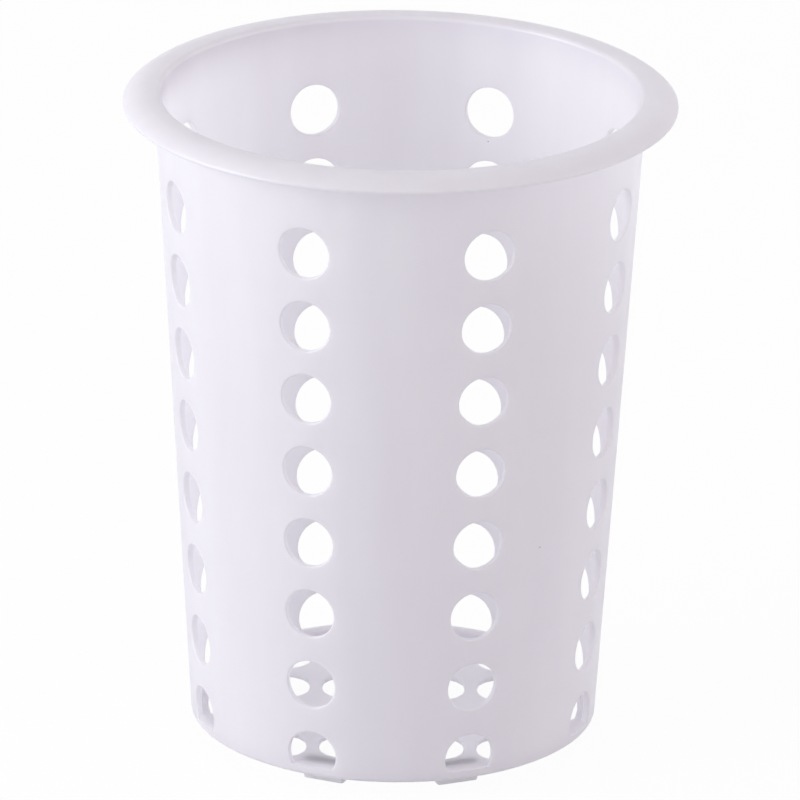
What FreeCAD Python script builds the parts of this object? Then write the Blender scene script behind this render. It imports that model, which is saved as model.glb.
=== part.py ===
import FreeCAD, Part
import math
import os

# Cutlery holder: a tapered round cup with rows of holes in its wall, a flared rim round its
# mouth, a floor with drain openings and a ring of small feet. The whole cup is one plastic
# moulding, and its zones are made here as solids that meet face to face on level planes.
# Lengths are in millimetres. +Z is up, the front faces -Y, and the origin is the centre of
# the base on the surface that the feet stand on.

# Whole cup
total_height = 139.7
wall_foot_diameter = 84.8
wall_thickness = 1.4
wall_draft_share = 0.061

# Holes in the wall, in level rows and upright columns
hole_rows = 8
hole_columns = 8
low_row_height = 8.1
top_row_depth = 19.6
low_hole_diameter = 10.4
high_hole_diameter = 10.9

# Rim: the wall turns outwards over the mouth rounding to a level crest, and its lip bends down
# from there to a round edge
rim_depth = 5.0
mouth_radius = 1.0
crest_width = 2.0
lip_reach = 6.42
lip_droop = 1.8
lip_thickness = 1.1
lip_root_radius = 1.2

# Floor: a thick border beside the wall and thinner crossing bars inside it, with rounded openings
# between the bars and a slot beside the border on each of four sides
floor_thickness = 2.0
bar_thickness = 1.0
recess_margin = 0.8
floor_edge_radius = 1.0
border_width = 2.3
bar_width = 2.7
bars_each_way = 2
window_corner_radius = 5.8
side_slot_width = 4.8
slot_corner_radius = 1.2
slot_sides = 4

# Feet under the floor
foot_count = 8
foot_height = 3.2
foot_width = 9.0
foot_thickness = 2.4
foot_inset = 2.0
foot_margin = 1.0
foot_edge_radius = 0.4

# A rounding takes at most this share of the thickness or width it lies in
rounding_limit_share = 0.45

# Cutters reach this far past what they cut
overrun = 4.0

# Levels and radii that several zones share
floor_top = foot_height + floor_thickness
rim_level = total_height - rim_depth
row_pitch = (total_height - top_row_depth - low_row_height) / (hole_rows - 1)
wall_slant = math.atan(wall_draft_share)
full_turn = 360.0
up = FreeCAD.Vector(0, 0, 1)
centre = FreeCAD.Vector(0, 0, 0)


def outer_radius(height):
    """Radius of the wall's outside face at a height."""
    return wall_foot_diameter / 2 + wall_draft_share * (height - foot_height)


def inner_radius(height):
    """Radius of the wall's inside face at a height."""
    return outer_radius(height) - wall_thickness


border_radius = inner_radius(floor_top) - border_width
bar_pitch = (border_radius - side_slot_width - bar_width / 2) / bars_each_way
foot_outer_radius = border_radius - foot_inset
foot_inner_radius = foot_outer_radius - foot_thickness


def facing(angle):
    """Level direction at an angle in degrees, turned from the front towards +X."""
    turn = math.radians(angle)
    return FreeCAD.Vector(math.sin(turn), -math.cos(turn), 0)


def around(place, radius, angle):
    """Point of the upright profile plane on a circle, the angle in radians from straight up."""
    return place + FreeCAD.Vector(math.sin(angle), 0, math.cos(angle)) * radius


def profile_point(radius, height):
    """Point of the upright profile plane."""
    return FreeCAD.Vector(radius, 0, height)


def line(start, end):
    """Straight profile edge."""
    return Part.LineSegment(start, end).toShape()


def arc(start, middle, end):
    """Round profile edge through three points."""
    return Part.Arc(start, middle, end).toShape()


def turned(edges):
    """Solid of revolution of a closed profile about the cup's axis."""
    return Part.Face(Part.Wire(edges)).revolve(centre, up, full_turn)


def upright_edges(shape):
    """Edges of a prism that run straight up."""
    return [edge for edge in shape.Edges if abs(edge.tangentAt(edge.FirstParameter).z) == 1]


def rounded_block(length, width, height, radius):
    """Block on the level plane, centred on the axis, with its upright edges rounded."""
    corner = FreeCAD.Vector(-length / 2, -width / 2, 0)
    block = Part.makeBox(length, width, height, corner)
    return block.makeFillet(radius, upright_edges(block))


def hole_cutter(row, column):
    """Radial cutter for one hole of the wall."""
    height = low_row_height + row * row_pitch
    growth_share = row / (hole_rows - 1)
    diameter = low_hole_diameter + growth_share * (high_hole_diameter - low_hole_diameter)
    direction = facing((column + 1 / 2) * full_turn / hole_columns)
    start = direction * (inner_radius(height) - overrun) + up * height
    return Part.makeCylinder(diameter / 2, wall_thickness + 2 * overrun, start, direction)


def make_wall_shell():
    """Tapered shell between the floor and the rim, with its holes. The lowest row meets the floor."""
    foot_inside = profile_point(inner_radius(floor_top), floor_top)
    foot_outside = profile_point(outer_radius(floor_top), floor_top)
    top_outside = profile_point(outer_radius(rim_level), rim_level)
    top_inside = profile_point(inner_radius(rim_level), rim_level)
    corners = [foot_inside, foot_outside, top_outside, top_inside, foot_inside]
    shell = turned([line(a, b) for a, b in zip(corners, corners[1:])])
    cutters = [hole_cutter(row, column) for row in range(hole_rows) for column in range(hole_columns)]
    return shell.cut(cutters)


def make_rim_lip():
    """Flared rim: mouth rounding, level crest, drooping lip, round edge and root rounding."""
    inward = FreeCAD.Vector(-math.cos(wall_slant), 0, math.sin(wall_slant))
    half_lip = lip_thickness / 2
    mouth_height = total_height - mouth_radius
    mouth_start_height = mouth_height + mouth_radius * math.sin(wall_slant)
    crest_radius = inner_radius(mouth_start_height) + mouth_radius * math.cos(wall_slant)
    mouth_centre = profile_point(crest_radius, mouth_height)
    mouth_start = mouth_centre + inward * mouth_radius
    mouth_middle = mouth_centre + (inward + up).normalize() * mouth_radius
    crest = profile_point(crest_radius, total_height)

    bend_radius = crest_radius + crest_width
    spread = outer_radius(total_height) + lip_reach - half_lip - bend_radius
    middle_radius = (spread ** 2 + lip_droop ** 2) / (2 * lip_droop)
    crown_radius = middle_radius + half_lip
    underside_radius = middle_radius - half_lip
    crown_centre = profile_point(bend_radius, total_height - crown_radius)
    edge_angle = math.atan2(spread, middle_radius - lip_droop)
    bend_top = profile_point(bend_radius, total_height)
    crown_middle = around(crown_centre, crown_radius, edge_angle / 2)
    edge_top = around(crown_centre, crown_radius, edge_angle)
    edge_centre = around(crown_centre, middle_radius, edge_angle)
    edge_tip = around(edge_centre, half_lip, edge_angle + math.pi / 2)
    edge_bottom = around(crown_centre, underside_radius, edge_angle)
    underside_middle = around(crown_centre, underside_radius, edge_angle / 2)

    underside_height = total_height - lip_thickness
    root_height = underside_height - lip_root_radius
    root_reach = outer_radius(root_height) + lip_root_radius / math.cos(wall_slant)
    root_centre = profile_point(root_reach, root_height)
    bend_bottom = profile_point(bend_radius, underside_height)
    root_top = profile_point(root_reach, underside_height)
    root_middle = root_centre + (inward + up).normalize() * lip_root_radius
    root_foot = root_centre + inward * lip_root_radius

    level_inside = profile_point(inner_radius(rim_level), rim_level)
    level_outside = profile_point(outer_radius(rim_level), rim_level)
    return turned([
        line(level_inside, mouth_start),
        arc(mouth_start, mouth_middle, crest),
        line(crest, bend_top),
        arc(bend_top, crown_middle, edge_top),
        arc(edge_top, edge_tip, edge_bottom),
        arc(edge_bottom, underside_middle, bend_bottom),
        line(bend_bottom, root_top),
        arc(root_top, root_middle, root_foot),
        line(root_foot, level_outside),
        line(level_outside, level_inside),
    ])


def window_cutters():
    """Well rounded openings between the bars, kept inside the floor's border."""
    side = bar_pitch - bar_width
    depth = floor_thickness + 2 * overrun
    level = foot_height - overrun
    border = Part.makeCylinder(border_radius, depth, up * level)
    corner_radius = min(window_corner_radius, rounding_limit_share * side)
    window = rounded_block(side, side, depth, corner_radius)
    cutters = []
    for column in range(-bars_each_way, bars_each_way):
        for row in range(-bars_each_way, bars_each_way):
            place = FreeCAD.Vector((column + 1 / 2) * bar_pitch, (row + 1 / 2) * bar_pitch, level)
            cutters.append(window.translated(place).common(border))
    return cutters


def slot_cutters():
    """Slots between the outermost bars and the border, each between two feet."""
    depth = floor_thickness + 2 * overrun
    level = foot_height - overrun
    border = Part.makeCylinder(border_radius, depth, up * level)
    half_step = math.pi / foot_count
    foot_middle_radius = (foot_inner_radius + foot_outer_radius) / 2
    half_length = foot_middle_radius * math.sin(half_step) - foot_width / 2 * math.cos(half_step) - foot_margin
    width = side_slot_width + overrun
    block = rounded_block(width, 2 * half_length, depth, slot_corner_radius)
    bar_face = bars_each_way * bar_pitch + bar_width / 2
    slot = block.translated(FreeCAD.Vector(bar_face + width / 2, 0, level)).common(border)
    return [slot.rotated(centre, up, side * full_turn / slot_sides) for side in range(slot_sides)]


def make_drain_floor():
    """Floor disc that closes the cup, with a rounded bottom edge, recessed bars and drain openings."""
    foot_radius = outer_radius(foot_height)
    disc = Part.makeCone(foot_radius, outer_radius(floor_top), floor_thickness, up * foot_height)
    edge_radius = min(floor_edge_radius, rounding_limit_share * 2 * floor_thickness)
    low_edges = [edge for edge in disc.Edges if edge.BoundBox.ZMax < foot_height + floor_thickness / 2]
    disc = disc.makeFillet(edge_radius, low_edges)
    recess = Part.makeCylinder(border_radius + recess_margin, floor_thickness, up * (foot_height + bar_thickness))
    return disc.cut([recess] + window_cutters() + slot_cutters())


def make_foot(number):
    """One foot: a short piece of a ring, flat on both ends, with its lower edges rounded."""
    ring = Part.makeCylinder(foot_outer_radius, foot_height).cut(Part.makeCylinder(foot_inner_radius, foot_height))
    corner = FreeCAD.Vector(foot_inner_radius - overrun, -foot_width / 2, 0)
    foot = ring.common(Part.makeBox(foot_thickness + 2 * overrun, foot_width, foot_height, corner))
    edge_radius = min(foot_edge_radius, rounding_limit_share * foot_thickness)
    low_edges = [edge for edge in foot.Edges if edge.BoundBox.ZMax < foot_height / 2]
    foot = foot.makeFillet(edge_radius, low_edges)
    return foot.rotated(centre, up, (number - 1 / 2) * full_turn / foot_count)


def make_nodes():
    """Every zone of the cup by its name."""
    nodes = {
        "rim_lip": make_rim_lip(),
        "wall_shell": make_wall_shell(),
        "drain_floor": make_drain_floor(),
    }
    for number in range(1, foot_count + 1):
        nodes["foot_%d" % number] = make_foot(number)
    return nodes


os.makedirs("parts", exist_ok=True)
for name, shape in make_nodes().items():
    shape.exportStep("parts/%s.step" % name)
    print(name, len(shape.Solids), "solid", round(shape.Volume), "mm3", shape.isValid())
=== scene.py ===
import math

import bmesh
import bpy
from bpy.props import FloatProperty, FloatVectorProperty, IntProperty, PointerProperty
from mathutils import Matrix, Vector
from mathutils.geometry import delaunay_2d_cdt


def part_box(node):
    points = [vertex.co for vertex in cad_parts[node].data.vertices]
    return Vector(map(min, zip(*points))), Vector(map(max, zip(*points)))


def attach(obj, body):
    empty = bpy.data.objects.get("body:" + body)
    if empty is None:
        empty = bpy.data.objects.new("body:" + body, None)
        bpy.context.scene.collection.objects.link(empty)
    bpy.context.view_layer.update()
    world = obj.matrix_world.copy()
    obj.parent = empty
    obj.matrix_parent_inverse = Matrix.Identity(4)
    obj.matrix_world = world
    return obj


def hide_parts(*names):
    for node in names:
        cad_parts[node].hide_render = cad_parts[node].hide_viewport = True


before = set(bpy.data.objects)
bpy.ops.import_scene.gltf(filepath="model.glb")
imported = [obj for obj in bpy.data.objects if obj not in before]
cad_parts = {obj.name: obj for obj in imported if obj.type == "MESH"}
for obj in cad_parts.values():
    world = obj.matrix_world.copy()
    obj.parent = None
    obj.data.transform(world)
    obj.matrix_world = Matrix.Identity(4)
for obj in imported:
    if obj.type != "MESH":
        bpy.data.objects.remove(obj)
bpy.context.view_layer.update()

bl_info = {
    "name": "Cutlery holder",
    "version": (1, 0, 0),
    "blender": (4, 5, 0),
    "location": "3D View > Sidebar > Cutlery holder",
    "description": "Dresses the packed cutlery holder: perforated wall, flared rim, drain floor and feet",
    "category": "Object",
}

# Levels that the frame gives: each zone of the moulding ends on a level plane
FOOT_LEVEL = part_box("drain_floor")[0].z
FLOOR_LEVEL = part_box("wall_shell")[0].z
CREST_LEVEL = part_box("rim_lip")[1].z
FOOT_NODES = sorted(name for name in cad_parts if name.startswith("foot_"))

MM = 0.001
BODY = "root"
IMAGE_SIDE = 800

# Mesh fineness: edges along one side of a hole's patch, along a rounding, along the lip's arcs and
# up the plain band under the rim
CELL_STEPS = 12
ROUNDING_STEPS = 4
ARC_STEPS = 12
BAND_STEPS = 3

# Rows of points between a hole's edge and the outline of its patch, as shares of the way
SPREAD_SHARES = (0.12, 0.34, 0.64)

# Points closer than this are one point, and edges that bend more than this are sharp
WELD = 1e-6
SHARP_ANGLE = math.radians(40)

# The floor has a slot on each of four sides
SLOT_SIDES = 4

# Plastic: widths and depths of its patterns, and how the upright ones are drawn out
STREAK_WIDTH = 7 * MM
WAVE_WIDTH = 14 * MM
WAVE_DEPTH = 0.05 * MM
GRIT_WIDTH = 0.5 * MM
GRIT_DEPTH = 0.006 * MM
UPRIGHT_DRAW = (1, 1, 0.15)
SPECK_SPACING = 6 * MM
SPECK_RADIUS_SHARE = 0.03
SPECK_COUNT_SHARE = 0.05
POLYPROPYLENE_IOR = 1.49
SHEEN_ROUGHNESS = 0.3

# Stage: the softboxes' places and sides in metres, and the colours of light and paper
LIGHT_LIMIT = 10
POWER_LIMIT = 1000
LEFT_PLACE = (-1.42, -0.38, 0.38)
LEFT_SIDE = 1.2
LEFT_LIGHT = "#F7FDFF"
RIGHT_PLACE = (1.45, -0.26, 0.33)
RIGHT_SIDE = 0.8
RIGHT_LIGHT = "#FFFDF4"
ROOM_LIGHT = "#FFF7F7"
PAPER = "#FAFAFA"
PAPER_BOUNCE = "#B4B3B6"
PAPER_HALF_SIDE = 6.0
PLAIN_WHITE = (1, 1, 1, 1)


def length(name, description, default):
    """Length property in metres, given in millimetres."""
    return FloatProperty(
        name=name, description=description, default=default * MM,
        unit="LENGTH", subtype="DISTANCE", precision=5,
    )


def linear(code):
    """Linear RGB of an sRGB hex colour, by the sRGB standard's curve."""
    parts = [int(code[place:place + 2], 16) / 255 for place in (1, 3, 5)]
    return tuple(p / 12.92 if p <= 0.04045 else ((p + 0.055) / 1.055) ** 2.4 for p in parts)


def colour(name, description, code):
    """Colour property from an sRGB hex value."""
    return FloatVectorProperty(
        name=name, description=description, default=linear(code), subtype="COLOR", size=3, min=0, max=1
    )


def share(name, description, default, high=1.0):
    """Plain number property between zero and a limit."""
    return FloatProperty(name=name, description=description, default=default, min=0, max=high, precision=4)


def number_of(name, description, default, low):
    """Whole number property with a lower limit."""
    return IntProperty(name=name, description=description, default=default, min=low)


def tilt_angle(name, description, default):
    """Angle property in radians."""
    return FloatProperty(name=name, description=description, default=default, subtype="ANGLE", precision=4)


class CutleryWallShape(bpy.types.PropertyGroup):
    """Sizes of the perforated wall."""

    foot_radius: length("Foot radius", "Outside radius of the wall at the floor's underside", 42.4)
    draft: share("Draft", "Growth of the radius for each unit of height", 0.061)
    thickness: length("Thickness", "Thickness of the wall", 1.4)
    rows: number_of("Rows", "Level rows of holes", 8, 2)
    columns: number_of("Columns", "Upright columns of holes", 8, 4)
    low_row: length("Lowest row", "Height of the lowest row's centres", 8.1)
    row_pitch: length("Row pitch", "Height from one row to the next", 16.0)
    low_hole: length("Lowest hole", "Diameter of the holes in the lowest row", 10.4)
    high_hole: length("Highest hole", "Diameter of the holes in the highest row", 10.9)
    hole_edge: length("Hole edge", "Rounding of the holes' edges", 0.35)
    bottom_edge: length("Bottom edge", "Rounding of the wall's outside bottom edge", 1.0)


class CutleryRimShape(bpy.types.PropertyGroup):
    """Sizes of the flared rim."""

    mouth_radius: length("Mouth rounding", "Rounding from the wall's inside to the crest", 1.0)
    reach: length("Lip reach", "Reach of the lip past the wall's outside", 6.42)
    crest_width: length("Crest width", "Width of the level crest inside the lip's bend", 2.0)
    droop: length("Lip droop", "Fall of the lip's middle line from crest to edge", 1.8)
    thickness: length("Lip thickness", "Thickness of the lip", 1.1)
    root_radius: length("Root rounding", "Rounding between the wall's outside and the lip's underside", 1.2)


class CutleryFloorShape(bpy.types.PropertyGroup):
    """Sizes of the drain floor."""

    border_width: length("Border", "Width of the closed border beside the wall", 2.3)
    bar_thickness: length("Bar thickness", "Thickness of the bars, less than the border's", 1.0)
    recess_margin: length("Recess margin", "Reach of the recess over the bars past the openings", 0.8)
    bar_width: length("Bar width", "Width of the bars between the openings", 2.7)
    bars_each_way: number_of("Bars", "Bars on each side of the middle one", 2, 1)
    window_corner: length("Opening corner", "Corner rounding of the openings", 5.8)
    slot_width: length("Slot width", "Width of the slots beside the border", 4.8)
    slot_half_length: length("Half slot", "Half of the slots' length", 8.47)
    slot_corner: length("Slot corner", "Corner rounding of the slots and of the cut openings", 1.2)
    opening_edge: length("Opening edge", "Rounding of the openings' upper and lower edges", 0.35)


class CutleryFootShape(bpy.types.PropertyGroup):
    """Sizes of the feet."""

    width: length("Width", "Width of a foot along the ring", 9.0)
    thickness: length("Thickness", "Thickness of a foot across the ring", 2.4)
    inset: length("Inset", "Distance of the feet from the floor's border", 2.0)
    corner: length("Corner", "Rounding of the upright edges", 0.6)
    edge: length("Edge", "Rounding of the lower edge", 0.4)


class CutleryFinish(bpy.types.PropertyGroup):
    """Looks of the moulded plastic."""

    plastic: colour("Plastic", "Colour of the white plastic", "#F7F6F9")
    clouded: colour("Clouded plastic", "Colour of the denser streaks in it", "#F2F0F5")
    speck: colour("Speck", "Colour of the dark specks in it", "#9A949C")
    roughness_low: share("Smoothest", "Roughness where the mould was smoothest", 0.36)
    roughness_high: share("Roughest", "Roughness where the mould was roughest", 0.48)
    see_through: share("Translucency", "Share of the light that passes through a face", 0.55)


class CutleryStage(bpy.types.PropertyGroup):
    """Light and view."""

    ambient: share("Ambient", "Strength of the even light from the sides", 0.95, LIGHT_LIMIT)
    ceiling: share("Ceiling", "Strength of the even light from straight above", 0.52, LIGHT_LIMIT)
    key_power: share("Key power", "Power of the large soft lamp on the left, in watts", 21.5, POWER_LIMIT)
    fill_power: share("Fill power", "Power of the soft lamp on the right, in watts", 3.6, POWER_LIMIT)
    floor_white: share("Floor white", "Share of plain white in what the camera sees of the floor", 0.95)
    focal_pixels: FloatProperty(name="Focal length", description="Focal length in pixels", default=9500.0)
    distance: length("Distance", "Distance from the camera to its target", 1975.694)
    pitch: tilt_angle("Pitch", "Downward tilt", 0.357)
    roll: tilt_angle("Roll", "Sideways tilt", 0.013)
    turn: tilt_angle("Turn", "Turn towards +X", 0.008)
    target_right: length("Target right", "Sideways place of the camera's target", 0.662)
    target_height: length("Target height", "Height of the camera's target", 71.893)


def add_node(tree, kind, inputs=None, **settings):
    """Adds a node, with its settings, and links or sets its inputs."""
    node = tree.nodes.new(kind)
    for key, value in settings.items():
        setattr(node, key, value)
    for socket, value in (inputs or {}).items():
        if isinstance(value, bpy.types.NodeSocket):
            tree.links.new(value, node.inputs[socket])
        else:
            node.inputs[socket].default_value = value
    return node


def empty_material(name):
    """Material with only an output node, and that node."""
    material = bpy.data.materials.new(name)
    material.use_nodes = True
    material.node_tree.nodes.clear()
    return material, add_node(material.node_tree, "ShaderNodeOutputMaterial")


def moulded_polypropylene():
    """White polypropylene, injection moulded in a satin mould, shared by all pieces."""
    name = "moulded_polypropylene"
    if name in bpy.data.materials:
        return bpy.data.materials[name]
    finish = bpy.context.scene.cutlery_finish
    material, output = empty_material(name)
    tree = material.node_tree
    place = add_node(tree, "ShaderNodeTexCoord").outputs["Object"]

    # Melt that flowed up the wall leaves faint upright streaks of denser white
    stretched = add_node(
        tree, "ShaderNodeMapping", {"Vector": place, "Scale": UPRIGHT_DRAW}
    ).outputs["Vector"]
    streaks = add_node(
        tree, "ShaderNodeTexNoise",
        {"Vector": stretched, "Scale": 1 / STREAK_WIDTH, "Detail": 3.0, "Roughness": 0.5},
    ).outputs["Fac"]
    white = add_node(
        tree, "ShaderNodeMix", {"Factor": streaks, "A": (*finish.plastic, 1), "B": (*finish.clouded, 1)},
        data_type="RGBA",
    )

    # A few dark specks, as in any cheap moulding: one in some cells of a loose grid
    specks = add_node(tree, "ShaderNodeTexVoronoi", {"Vector": place, "Scale": 1 / SPECK_SPACING})
    near = add_node(
        tree, "ShaderNodeMath", {0: specks.outputs["Distance"], 1: SPECK_RADIUS_SHARE},
        operation="LESS_THAN",
    )
    rare = add_node(tree, "ShaderNodeSeparateColor", {"Color": specks.outputs["Color"]})
    kept = add_node(
        tree, "ShaderNodeMath", {0: rare.outputs["Red"], 1: SPECK_COUNT_SHARE}, operation="LESS_THAN"
    )
    mask = add_node(
        tree, "ShaderNodeMath", {0: near.outputs["Value"], 1: kept.outputs["Value"]}, operation="MULTIPLY"
    )
    body = add_node(
        tree, "ShaderNodeMix",
        {"Factor": mask.outputs["Value"], "A": white.outputs["Result"], "B": (*finish.speck, 1)},
        data_type="RGBA",
    ).outputs["Result"]

    # Satin skin: the mould's fine grit is about 0.1 mm, drawn at 0.5 mm so that it shows, over the
    # shallow sink waves that a thin wall keeps after it has cooled
    grit = add_node(
        tree, "ShaderNodeTexNoise",
        {"Vector": place, "Scale": 1 / GRIT_WIDTH, "Detail": 2.0, "Roughness": 0.6},
    ).outputs["Fac"]
    waves = add_node(
        tree, "ShaderNodeTexNoise",
        {"Vector": stretched, "Scale": 1 / WAVE_WIDTH, "Detail": 1.0, "Roughness": 0.4},
    ).outputs["Fac"]
    sunk = add_node(
        tree, "ShaderNodeBump", {"Strength": 1.0, "Distance": WAVE_DEPTH, "Height": waves}
    ).outputs["Normal"]
    skin = add_node(
        tree, "ShaderNodeBump",
        {"Strength": 1.0, "Distance": GRIT_DEPTH, "Height": grit, "Normal": sunk},
    ).outputs["Normal"]
    roughness = add_node(
        tree, "ShaderNodeMapRange",
        {"Value": waves, "To Min": finish.roughness_low, "To Max": finish.roughness_high},
    ).outputs["Result"]

    # Polypropylene is milky: light that falls on one side of the thin wall glows on the other. The coat
    # gives back the skin's soft sheen, which the glowing share of the face would take away
    face = add_node(
        tree, "ShaderNodeBsdfPrincipled",
        {"Base Color": body, "Roughness": roughness, "IOR": POLYPROPYLENE_IOR, "Coat Weight": 1.0,
         "Coat Roughness": SHEEN_ROUGHNESS, "Normal": skin, "Coat Normal": skin},
    ).outputs["BSDF"]
    glow = add_node(tree, "ShaderNodeBsdfTranslucent", {"Color": body, "Normal": skin}).outputs["BSDF"]
    milky = add_node(
        tree, "ShaderNodeMixShader", {0: finish.see_through, 1: face, 2: glow}
    ).outputs["Shader"]
    tree.links.new(milky, output.inputs["Surface"])
    return material


def add_piece(name, corners, faces, *nodes):
    """Welds corners and faces into one closed piece that stands for some of the frame's nodes."""
    mesh = bpy.data.meshes.new(name)
    mesh.from_pydata(corners, [], faces)
    work = bmesh.new()
    work.from_mesh(mesh)
    bmesh.ops.remove_doubles(work, verts=work.verts, dist=WELD)
    bmesh.ops.recalc_face_normals(work, faces=work.faces)
    if not all(edge.is_manifold for edge in work.edges):
        raise RuntimeError(f"{name} isn't closed")
    work.to_mesh(mesh)
    work.free()
    mesh.shade_smooth()
    mesh.set_sharp_from_angle(angle=SHARP_ANGLE)
    mesh.materials.append(moulded_polypropylene())
    piece = bpy.data.objects.new(name, mesh)
    bpy.context.scene.collection.objects.link(piece)
    flat = piece.modifiers.new("even shading", "WEIGHTED_NORMAL")
    flat.keep_sharp = True
    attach(piece, BODY)
    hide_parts(*nodes)
    return piece


def on_ring(turn, radius, height):
    """Point at a turn from the front towards +X."""
    return (radius * math.sin(turn), -radius * math.cos(turn), height)


def outer_radius(height):
    """Radius of the wall's outside face at a height."""
    wall = bpy.context.scene.cutlery_wall
    return wall.foot_radius + wall.draft * (height - FOOT_LEVEL)


def inner_radius(height):
    """Radius of the wall's inside face at a height."""
    return outer_radius(height) - bpy.context.scene.cutlery_wall.thickness


def strip(rows, closed):
    """Four-cornered faces between neighbouring rows of corner numbers."""
    faces = []
    for near, far in zip(rows, rows[1:]):
        count = len(near)
        for place in range(count if closed else count - 1):
            after = (place + 1) % count
            faces.append((near[place], near[after], far[after], far[place]))
    return faces


def numbered(corners, points):
    """Adds a row of points to the corners and gives their numbers."""
    first = len(corners)
    corners.extend(points)
    return list(range(first, len(corners)))


def arc_points(centre, radius, start, end, steps):
    """Profile points on an arc, its angles from straight up towards the outside."""
    points = []
    for step in range(steps + 1):
        angle = start + (end - start) * step / steps
        points.append((centre[0] + radius * math.sin(angle), centre[1] + radius * math.cos(angle)))
    return points


def quarter_round(radius):
    """Steps over a rounded edge: how far each lies past the edge's side and how far below its face."""
    angles = [math.pi / 2 * step / ROUNDING_STEPS for step in range(ROUNDING_STEPS + 1)]
    return [(radius * (1 - math.sin(angle)), radius * (1 - math.cos(angle))) for angle in angles]


class HoleCell:
    """One hole of the wall with the patch of wall round it."""

    def __init__(self, column, row):
        wall = bpy.context.scene.cutlery_wall
        self.half_turn = math.pi / wall.columns
        self.turn = (2 * column + 1) * self.half_turn
        self.height = wall.low_row + row * wall.row_pitch
        grown = row / (wall.rows - 1)
        self.radius = (wall.low_hole + grown * (wall.high_hole - wall.low_hole)) / 2
        self.low = max(self.height - wall.row_pitch / 2, FLOOR_LEVEL)
        self.high = self.height + wall.row_pitch / 2
        self.closed = self.height - self.radius > FLOOR_LEVEL
        self.edge = wall.hole_edge

    def around(self, radius):
        """Sideways and upward offsets round the hole, from its right to its left if the floor cuts it."""
        if self.closed:
            count = 4 * CELL_STEPS
            start, sweep = -math.pi / 4, 2 * math.pi / count
        else:
            count = 3 * CELL_STEPS + 1
            start = math.asin((FLOOR_LEVEL - self.height) / radius)
            sweep = (math.pi - 2 * start) / (count - 1)
        angles = [start + sweep * place for place in range(count)]
        return [(radius * math.cos(angle), radius * math.sin(angle)) for angle in angles]

    def outline(self):
        """Turns and heights along the patch's outline, in the order of the hole's points."""
        steps = [step / CELL_STEPS for step in range(CELL_STEPS)]
        left, right = self.turn - self.half_turn, self.turn + self.half_turn
        rise = self.high - self.low
        points = [(right, self.low + rise * step) for step in steps]
        points += [(right + (left - right) * step, self.high) for step in steps]
        points += [(left, self.high - rise * step) for step in steps]
        if self.closed:
            points += [(left + (right - left) * step, self.low) for step in steps]
        else:
            points.append((left, self.low))
        return points

    def face_rows(self, face_radius, inward):
        """Rows of points from the patch's outline over one face and round the hole's edge."""
        start = []
        for aside, rise in self.around(self.radius + self.edge):
            height = self.height + rise
            start.append((self.turn + math.asin(aside / face_radius(height)), height))
        rows = []
        for step in (1.0, *reversed(SPREAD_SHARES)):
            row = []
            for (turn, height), (far_turn, far_height) in zip(start, self.outline()):
                mid_turn = turn + (far_turn - turn) * step
                mid_height = height + (far_height - height) * step
                row.append(on_ring(mid_turn, face_radius(mid_height), mid_height))
            rows.append(row)
        for grow, depth in quarter_round(self.edge):
            row = []
            for aside, rise in self.around(self.radius + grow):
                height = self.height + rise
                reach = math.sqrt(face_radius(height) ** 2 - aside ** 2) - inward * depth
                out = Vector(on_ring(self.turn, reach, height))
                row.append(tuple(out + Vector(on_ring(self.turn + math.pi / 2, aside, 0))))
            rows.append(row)
        return rows

    def build(self, corners):
        """Adds the patch's points, and gives its faces."""
        outside = [numbered(corners, row) for row in self.face_rows(outer_radius, 1)]
        inside = [numbered(corners, row) for row in self.face_rows(inner_radius, -1)]
        faces = strip(outside + inside[::-1], self.closed)
        if not self.closed:
            faces.append(self.ledge(corners, outside, inside))
        return faces

    def foot_turns(self, face_radius):
        """Turns along the floor's level from the patch's left to its right, in steps across the hole."""
        aside, _ = self.around(self.radius + self.edge)[0]
        near = math.asin(aside / face_radius(FLOOR_LEVEL))
        right = [near + (self.half_turn - near) * step for step in (0, *SPREAD_SHARES, 1)]
        across = [near * (2 * step / CELL_STEPS - 1) for step in range(1, CELL_STEPS)]
        return [self.turn + turn for turn in [-turn for turn in reversed(right)] + across + right]

    def ledge(self, corners, outside, inside):
        """Adds the flat at the floor's level under a hole that the floor cuts, and gives its face."""
        first = len(SPREAD_SHARES) + 1
        gaps = []
        for face_radius in (outer_radius, inner_radius):
            turns = self.foot_turns(face_radius)[first + 1:-first - 1]
            radius = face_radius(FLOOR_LEVEL)
            gaps.append(numbered(corners, [on_ring(turn, radius, FLOOR_LEVEL) for turn in turns]))
        right = [row[0] for row in outside[first:] + inside[:first - 1:-1]]
        left = [row[-1] for row in inside[first:] + outside[:first - 1:-1]]
        return tuple(gaps[0] + right + gaps[1][::-1] + left)


def turned(corners, profile, steps, closed_profile):
    """Adds a profile turned round the axis, and gives its faces. The profile holds radii and heights."""
    turns = [math.tau * step / steps for step in range(steps)]
    rows = []
    for radius, height in profile:
        rows.append(numbered(corners, [on_ring(turn, radius, height) for turn in turns]))
    if closed_profile:
        rows.append(rows[0])
    return strip(rows, True)


def ring_steps():
    """Edges round the whole cup."""
    return bpy.context.scene.cutlery_wall.columns * CELL_STEPS


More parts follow.
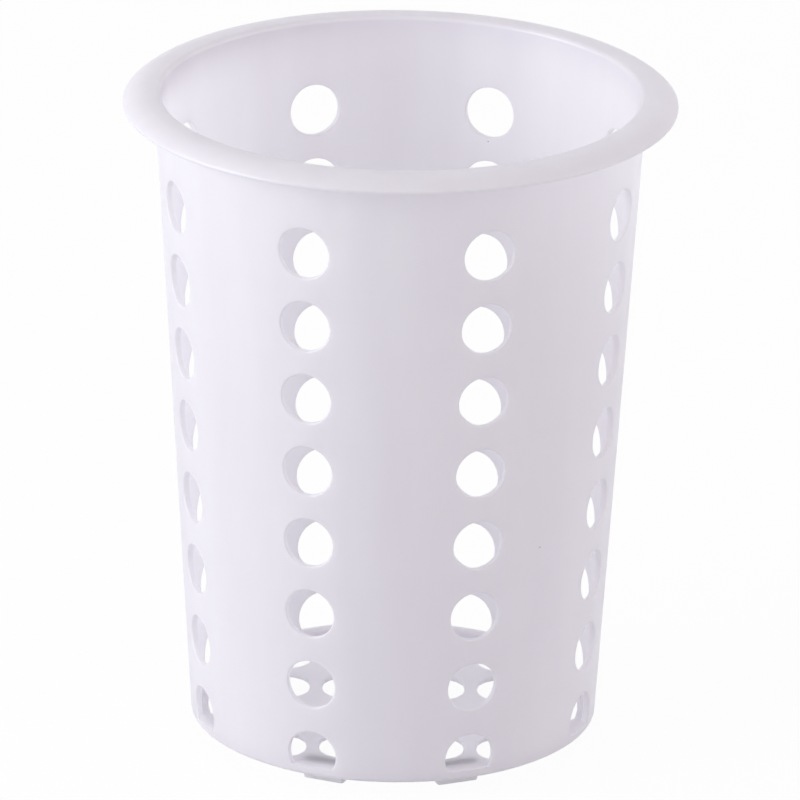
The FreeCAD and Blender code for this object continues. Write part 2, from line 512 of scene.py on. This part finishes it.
def foot_band(corners):
    """Adds the wall's foot, which goes down past the floor's edge, and gives its faces."""
    wall = bpy.context.scene.cutlery_wall
    cells = [HoleCell(column, 0) for column in range(wall.columns)]
    if cells[0].closed:
        raise RuntimeError("the lowest row of holes doesn't meet the floor")
    edge = wall.bottom_edge
    centre = (outer_radius(FOOT_LEVEL + edge) - edge, FOOT_LEVEL + edge)
    outside = [(outer_radius(FLOOR_LEVEL), FLOOR_LEVEL)]
    outside += arc_points(centre, edge, math.pi / 2, math.pi, 2 * ROUNDING_STEPS)
    inside = [(inner_radius(FLOOR_LEVEL), height) for height in (FOOT_LEVEL, FLOOR_LEVEL)]
    rows = []
    for face_radius, profile in ((outer_radius, outside), (inner_radius, inside)):
        turns = [turn for cell in cells for turn in cell.foot_turns(face_radius)[:-1]]
        for radius, height in profile:
            rows.append(numbered(corners, [on_ring(turn, radius, height) for turn in turns]))
    return strip(rows, True)


class CUTLERY_OT_wall(bpy.types.Operator):
    """Make the tapered wall with its rows of holes"""

    bl_idname = "cutlery.make_wall"
    bl_label = "Perforated wall"

    def execute(self, context):
        wall = context.scene.cutlery_wall
        corners, faces = [], []
        for row in range(wall.rows):
            for column in range(wall.columns):
                faces += HoleCell(column, row).build(corners)
        faces += foot_band(corners)
        band_low = wall.low_row + (wall.rows - 1 / 2) * wall.row_pitch
        (_, mouth_level), *_, (_, root_level) = rim_profile()
        shares = [step / BAND_STEPS for step in range(BAND_STEPS + 1)]
        outside = [band_low + (root_level - band_low) * step for step in shares]
        inside = [band_low + (mouth_level - band_low) * step for step in reversed(shares)]
        band = [(outer_radius(h), h) for h in outside] + [(inner_radius(h), h) for h in inside]
        faces += turned(corners, band, ring_steps(), False)
        add_piece("perforated_wall", corners, faces, "wall_shell")
        return {"FINISHED"}


def rim_profile():
    """Closed profile of the rim, from the mouth over the crest and back under the lip to the wall."""
    wall = bpy.context.scene.cutlery_wall
    rim = bpy.context.scene.cutlery_rim
    slant = math.atan(wall.draft)
    half_lip = rim.thickness / 2
    mouth_height = CREST_LEVEL - rim.mouth_radius
    mouth_face = inner_radius(mouth_height + rim.mouth_radius * math.sin(slant))
    crest_radius = mouth_face + rim.mouth_radius * math.cos(slant)
    bend_start = crest_radius + rim.crest_width
    spread = outer_radius(CREST_LEVEL) + rim.reach - half_lip - bend_start
    middle_radius = (spread ** 2 + rim.droop ** 2) / (2 * rim.droop)
    crown_height = CREST_LEVEL - middle_radius - half_lip
    crown = (bend_start, crown_height)
    edge_angle = math.atan2(spread, middle_radius - rim.droop)
    edge_height = crown_height + middle_radius * math.cos(edge_angle)
    edge = (bend_start + middle_radius * math.sin(edge_angle), edge_height)
    root_height = CREST_LEVEL - rim.thickness - rim.root_radius
    root = (outer_radius(root_height) + rim.root_radius / math.cos(slant), root_height)

    face_angle = slant - math.pi / 2
    profile = arc_points((crest_radius, mouth_height), rim.mouth_radius, face_angle, 0, ARC_STEPS)
    profile += arc_points(crown, middle_radius + half_lip, 0, edge_angle, ARC_STEPS)
    profile += arc_points(edge, half_lip, edge_angle, edge_angle + math.pi, ARC_STEPS)[1:]
    profile += arc_points(crown, middle_radius - half_lip, edge_angle, 0, ARC_STEPS)[1:]
    return profile + arc_points(root, rim.root_radius, 0, face_angle, ARC_STEPS)


class CUTLERY_OT_rim(bpy.types.Operator):
    """Make the flared rim with its level crest and drooping lip"""

    bl_idname = "cutlery.make_rim"
    bl_label = "Flared rim"

    def execute(self, context):
        corners = []
        faces = turned(corners, rim_profile(), ring_steps(), True)
        add_piece("flared_rim", corners, faces, "rim_lip")
        return {"FINISHED"}


def clipped(outline, radius):
    """Convex outline cut by a circle about the axis, the circle in straight steps."""
    steps = 2 * ring_steps()
    for step in range(steps):
        angle = math.tau * (step + 1 / 2) / steps
        across = Vector((math.cos(angle), math.sin(angle)))
        limit = radius * math.cos(math.pi / steps)
        kept = []
        for here, there in zip(outline, outline[1:] + outline[:1]):
            depth, next_depth = limit - across.dot(here), limit - across.dot(there)
            if depth >= 0:
                kept.append(here)
            if (depth >= 0) != (next_depth >= 0):
                kept.append(here.lerp(there, depth / (depth - next_depth)))
        outline = kept
        if not outline:
            raise RuntimeError("an opening of the floor lies outside its border")
    return outline


def rounded_box(middle, half_width, half_depth, corner):
    """Points round a box with rounded corners."""
    points = []
    for quarter in range(4):
        for step in range(ROUNDING_STEPS + 1):
            angle = math.pi / 2 * (quarter + step / ROUNDING_STEPS)
            way = Vector((math.cos(angle), math.sin(angle)))
            side = Vector((1 if quarter in (0, 3) else -1, 1 if quarter in (0, 1) else -1))
            core = Vector((half_width - corner, half_depth - corner))
            points.append(middle + side * core + way * corner)
    return points


def swollen(outline):
    """Pairs of a place and an outward direction that draw an outline at any distance from a convex one."""
    apart = [p for p, before in zip(outline, outline[-1:] + outline[:-1]) if (p - before).length > WELD]
    pairs = []
    for before, here, after in zip(apart[-1:] + apart[:-1], apart, apart[1:] + apart[:1]):
        first = math.atan2(-(here - before).x, (here - before).y)
        second = math.atan2(-(after - here).x, (after - here).y)
        bend = (second - first) % math.tau
        steps = round(bend / (math.pi / 2) * 2 * ROUNDING_STEPS)
        shares = [step / steps for step in range(steps + 1)] if steps else [1 / 2]
        for part in shares:
            angle = first + bend * part
            pairs.append((here, Vector((math.cos(angle), math.sin(angle)))))
    return pairs


def floor_openings():
    """Every opening of the floor as pairs of a place and an outward direction."""
    shape = bpy.context.scene.cutlery_floor
    border = inner_radius(FLOOR_LEVEL) - shape.border_width
    corner = shape.slot_corner
    pitch = (border - shape.slot_width - shape.bar_width / 2) / shape.bars_each_way
    half_side = (pitch - shape.bar_width) / 2 - corner
    openings = []
    for column in range(-shape.bars_each_way, shape.bars_each_way):
        for row in range(-shape.bars_each_way, shape.bars_each_way):
            middle = Vector(((column + 1 / 2) * pitch, (row + 1 / 2) * pitch))
            box = rounded_box(middle, half_side, half_side, shape.window_corner - corner)
            openings.append(swollen(clipped(box, border - corner)))
    inner = shape.bars_each_way * pitch + shape.bar_width / 2 + corner
    half_depth = shape.slot_half_length - corner
    box = [Vector((inner, -half_depth)), Vector((border, -half_depth)),
           Vector((border, half_depth)), Vector((inner, half_depth))]
    slot = clipped(box, border - corner)
    for side in range(SLOT_SIDES):
        turn = Matrix.Rotation(side * math.tau / SLOT_SIDES, 2)
        openings.append(swollen([turn @ point for point in slot]))
    return openings


class CUTLERY_OT_floor(bpy.types.Operator):
    """Make the floor with its drain openings"""

    bl_idname = "cutlery.make_floor"
    bl_label = "Drain floor"

    def execute(self, context):
        shape = context.scene.cutlery_floor
        edge = shape.opening_edge
        bar_level = FOOT_LEVEL + shape.bar_thickness
        side = inner_radius(FLOOR_LEVEL)
        recess = side - shape.border_width + shape.recess_margin
        corners = []
        profile = [(recess, bar_level)]
        profile += arc_points((recess + edge, FLOOR_LEVEL - edge), edge, -math.pi / 2, 0, ROUNDING_STEPS)
        profile += [(side, FLOOR_LEVEL), (side, FOOT_LEVEL)]
        faces = turned(corners, profile, ring_steps(), False)
        upper = [(grow, bar_level - depth) for grow, depth in quarter_round(edge)]
        lower = [(grow, FOOT_LEVEL + bar_level - height) for grow, height in reversed(upper)]
        openings = floor_openings()
        for opening in openings:
            rows = []
            for grow, height in upper + lower:
                reach = shape.slot_corner + grow
                rows.append(numbered(corners, [(*(place + way * reach), height) for place, way in opening]))
            faces += strip(rows, True)
        for height, radius in ((bar_level, recess), (FOOT_LEVEL, side)):
            steps = ring_steps()
            loops = [[Vector(on_ring(math.tau * s / steps, radius, 0)[:2]) for s in range(steps)]]
            reach = shape.slot_corner + edge
            loops += [[place + way * reach for place, way in opening] for opening in openings]
            faces += plate(corners, loops, height)
        add_piece("drain_floor_grid", corners, faces, "drain_floor")
        return {"FINISHED"}


def inside(point, loop):
    """True if a point lies inside a convex loop that runs anticlockwise."""
    sides = [(a, b - a) for a, b in zip(loop, loop[1:] + loop[:1])]
    return all(side.cross(point - a) > 0 for a, side in sides if side.length > WELD)


def plate(corners, loops, height):
    """Adds a level plate inside the first loop and outside the others, and gives its faces."""
    flat, edges = [], []
    for loop in loops:
        first = len(flat)
        flat += loop
        edges += [(first + place, first + (place + 1) % len(loop)) for place in range(len(loop))]
    points, _, triangles, *_ = delaunay_2d_cdt(flat, edges, [], 0, WELD)
    numbers = numbered(corners, [(*point, height) for point in points])
    faces = []
    for triangle in triangles:
        middle = sum((points[corner] for corner in triangle), Vector((0, 0))) / len(triangle)
        if not any(inside(middle, loop) for loop in loops[1:]):
            faces.append(tuple(numbers[corner] for corner in triangle))
    return faces


class CUTLERY_OT_feet(bpy.types.Operator):
    """Make the low feet under the floor"""

    bl_idname = "cutlery.make_feet"
    bl_label = "Feet"

    def execute(self, context):
        shape = context.scene.cutlery_foot
        border = inner_radius(FLOOR_LEVEL) - context.scene.cutlery_floor.border_width
        middle = border - shape.inset - shape.thickness / 2
        for number, node in enumerate(FOOT_NODES, 1):
            turn = (number - 1 / 2) * math.tau / len(FOOT_NODES) + math.pi / 2
            corners, rows = [], []
            for inset, height in quarter_round(shape.edge) + [(0, FOOT_LEVEL)]:
                half_width, half_depth = shape.thickness / 2 - inset, shape.width / 2 - inset
                outline = rounded_box(Vector((0, 0)), half_width, half_depth, shape.corner - inset)
                row = []
                for point in outline:
                    out = middle + point.x - point.y ** 2 / (2 * middle)
                    row.append(Matrix.Rotation(turn, 3, "Z") @ Vector((out, point.y, height)))
                rows.append(numbered(corners, row))
            faces = strip(rows, True)
            faces += [tuple(rows[0]), tuple(rows[-1])]
            add_piece(f"low_{node}", corners, faces, node)
        return {"FINISHED"}


def seen_directly(tree):
    """Socket that is one for rays from the camera and for mirrored and refracted ones."""
    path = add_node(tree, "ShaderNodeLightPath")
    seen = add_node(
        tree, "ShaderNodeMath", {0: path.outputs["Is Camera Ray"], 1: path.outputs["Is Glossy Ray"]},
        operation="MAXIMUM",
    )
    return add_node(
        tree, "ShaderNodeMath", {0: seen.outputs["Value"], 1: path.outputs["Is Transmission Ray"]},
        operation="MAXIMUM",
    ).outputs["Value"]


class CUTLERY_OT_stage(bpy.types.Operator):
    """Make the white floor, the soft lamps and the camera"""

    bl_idname = "cutlery.make_stage"
    bl_label = "Stage"

    def execute(self, context):
        self.light_world(context.scene)
        self.lay_floor(context.scene)
        stage = context.scene.cutlery_stage
        self.hang_lamp("left_softbox", LEFT_PLACE, LEFT_SIDE, stage.key_power, LEFT_LIGHT)
        self.hang_lamp("right_softbox", RIGHT_PLACE, RIGHT_SIDE, stage.fill_power, RIGHT_LIGHT)
        self.set_camera(context.scene)
        return {"FINISHED"}

    def light_world(self, scene):
        """Even light all round, dimmer from above, on a plain white background."""
        world = bpy.data.worlds.new("white_studio")
        world.use_nodes = True
        tree = world.node_tree
        tree.nodes.clear()
        stage = scene.cutlery_stage
        way = add_node(tree, "ShaderNodeTexCoord").outputs["Generated"]
        rise = add_node(tree, "ShaderNodeSeparateXYZ", {"Vector": way}).outputs["Z"]
        strength = add_node(
            tree, "ShaderNodeMapRange", {"Value": rise, "To Min": stage.ambient, "To Max": stage.ceiling}
        ).outputs["Result"]
        light = (*linear(ROOM_LIGHT), 1)
        even = add_node(tree, "ShaderNodeBackground", {"Color": light, "Strength": strength})
        white = add_node(tree, "ShaderNodeBackground", {"Color": PLAIN_WHITE, "Strength": 1.0})
        mixed = add_node(
            tree, "ShaderNodeMixShader",
            {0: seen_directly(tree), 1: even.outputs["Background"], 2: white.outputs["Background"]},
        )
        add_node(tree, "ShaderNodeOutputWorld", {"Surface": mixed.outputs["Shader"]})
        scene.world = world

    def lay_floor(self, scene):
        """Wide white paper under the holder, which the camera sees nearly plain white."""
        material, output = empty_material("matt_white_paper")
        tree = material.node_tree
        seen = seen_directly(tree)
        # Seen paper is lit nearly to plain white and keeps a trace of the shadow. The light that it throws
        # back is dimmer, since the photograph's holder is darkest at its foot
        sheet = add_node(tree, "ShaderNodeBsdfDiffuse", {"Color": (*linear(PAPER), 1)}).outputs["BSDF"]
        glare = add_node(
            tree, "ShaderNodeEmission", {"Color": PLAIN_WHITE, "Strength": 1.0}
        ).outputs["Emission"]
        dim = add_node(tree, "ShaderNodeBsdfDiffuse", {"Color": (*linear(PAPER_BOUNCE), 1)}).outputs["BSDF"]
        white = add_node(
            tree, "ShaderNodeMixShader", {0: scene.cutlery_stage.floor_white, 1: sheet, 2: glare}
        ).outputs["Shader"]
        paper = add_node(tree, "ShaderNodeMixShader", {0: seen, 1: dim, 2: white}).outputs["Shader"]
        tree.links.new(paper, output.inputs["Surface"])
        half = PAPER_HALF_SIDE
        corners = [(-half, -half, 0), (half, -half, 0), (half, half, 0), (-half, half, 0)]
        mesh = bpy.data.meshes.new("paper_floor")
        mesh.from_pydata(corners, [], [(0, 1, 2, 3)])
        mesh.materials.append(material)
        floor = bpy.data.objects.new("paper_floor", mesh)
        scene.collection.objects.link(floor)

    def hang_lamp(self, name, place, size, power, code):
        """Large square lamp that faces the middle of the holder."""
        lamp = bpy.data.lights.new(name, "AREA")
        lamp.energy = power
        lamp.size = size
        lamp.color = linear(code)
        holder = bpy.data.objects.new(name, lamp)
        holder.location = place
        aim = Vector((0, 0, CREST_LEVEL / 2)) - holder.location
        holder.rotation_euler = aim.to_track_quat("-Z", "Y").to_euler()
        bpy.context.scene.collection.objects.link(holder)

    def set_camera(self, scene):
        """Camera at the photograph's angle, from a camera fitted to its rows of holes."""
        stage = scene.cutlery_stage
        lens = bpy.data.cameras.new("photo_camera")
        lens.lens = lens.sensor_width * stage.focal_pixels / IMAGE_SIDE
        ahead = Vector((0, math.cos(stage.pitch), -math.sin(stage.pitch)))
        across = Vector((1, 0, 0))
        above = across.cross(ahead)
        level = Matrix((across, above, -ahead)).transposed()
        tilt = Matrix.Rotation(stage.roll, 3, "Z")
        target = Vector((stage.target_right, 0, stage.target_height))
        turn = Matrix.Rotation(stage.turn, 3, "Z")
        camera = bpy.data.objects.new("photo_camera", lens)
        place = turn @ (target - ahead * stage.distance)
        camera.matrix_world = Matrix.Translation(place) @ (turn @ level @ tilt).to_4x4()
        scene.collection.objects.link(camera)
        scene.camera = camera
        scene.view_settings.view_transform = "Standard"


class CUTLERY_PT_panel(bpy.types.Panel):
    """Sidebar list of the holder's pieces and sizes"""

    bl_label = "Cutlery holder"
    bl_idname = "CUTLERY_PT_panel"
    bl_space_type = "VIEW_3D"
    bl_region_type = "UI"
    bl_category = "Cutlery holder"

    def draw(self, context):
        for name, group in GROUPS.items():
            box = self.layout.box()
            for operator, settings_name in OPERATORS.items():
                if settings_name == name:
                    box.operator(operator.bl_idname)
            settings = getattr(context.scene, name)
            for key in group.__annotations__:
                box.prop(settings, key)


# Names of the settings on the scene, and the settings that each operator's button stands beside
GROUPS = {
    "cutlery_wall": CutleryWallShape,
    "cutlery_rim": CutleryRimShape,
    "cutlery_floor": CutleryFloorShape,
    "cutlery_foot": CutleryFootShape,
    "cutlery_finish": CutleryFinish,
    "cutlery_stage": CutleryStage,
}
OPERATORS = {
    CUTLERY_OT_wall: "cutlery_wall",
    CUTLERY_OT_rim: "cutlery_rim",
    CUTLERY_OT_floor: "cutlery_floor",
    CUTLERY_OT_feet: "cutlery_foot",
    CUTLERY_OT_stage: "cutlery_stage",
}


def register():
    """Registers the settings, the operators and the panel."""
    for group in GROUPS.values():
        bpy.utils.register_class(group)
    for name, group in GROUPS.items():
        setattr(bpy.types.Scene, name, PointerProperty(type=group))
    for operator in OPERATORS:
        bpy.utils.register_class(operator)
    bpy.utils.register_class(CUTLERY_PT_panel)


def unregister():
    """Takes away what register added."""
    bpy.utils.unregister_class(CUTLERY_PT_panel)
    for operator in OPERATORS:
        bpy.utils.unregister_class(operator)
    for name, group in GROUPS.items():
        delattr(bpy.types.Scene, name)
        bpy.utils.unregister_class(group)


def main():
    """Builds every piece and the stage."""
    register()
    bpy.ops.cutlery.make_wall()
    bpy.ops.cutlery.make_rim()
    bpy.ops.cutlery.make_floor()
    bpy.ops.cutlery.make_feet()
    bpy.ops.cutlery.make_stage()


if __name__ == "__main__":
    main()
